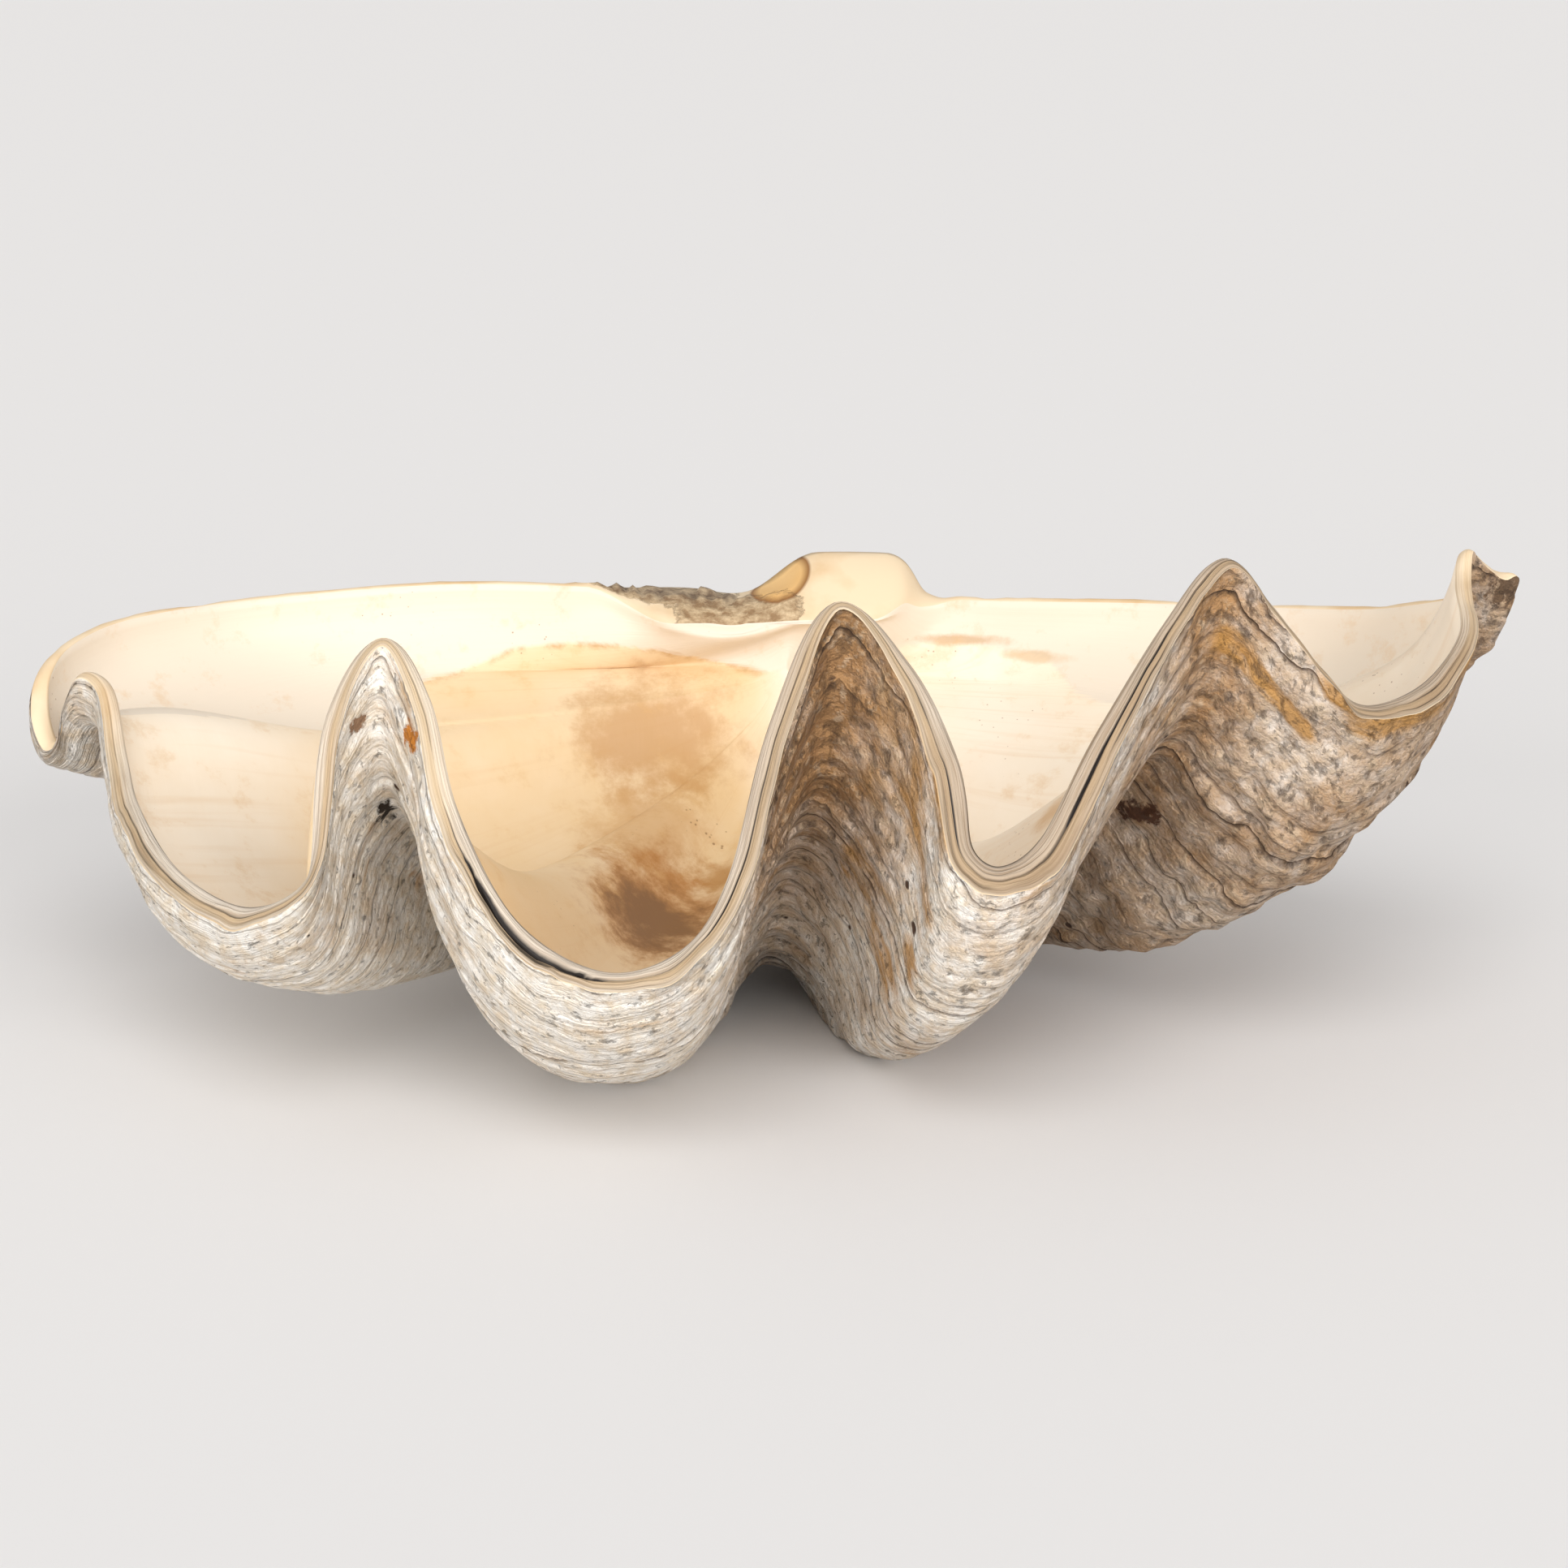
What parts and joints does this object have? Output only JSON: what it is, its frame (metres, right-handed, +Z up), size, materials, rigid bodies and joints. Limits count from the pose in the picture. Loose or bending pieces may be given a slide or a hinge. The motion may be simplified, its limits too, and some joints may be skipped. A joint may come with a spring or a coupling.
{
  "type": "giant clam shell",
  "caption": "Single valve of a giant clam: a deep fluted bowl with tall pointed rim folds and a thick hinge, resting on its belly.",
  "frame": {"origin": "centre of the bounding box in plan, on the floor plane the shell rests on", "axes": "+X along the shell's length, +Y towards the hinge, +Z up out of the bowl"},
  "size_m": [0.891, 0.5552, 0.299],
  "materials": {
    "shell": "matte"
  },
  "bodies": {
    "root": {"valve": "shell"}
  },
  "joints": []
}
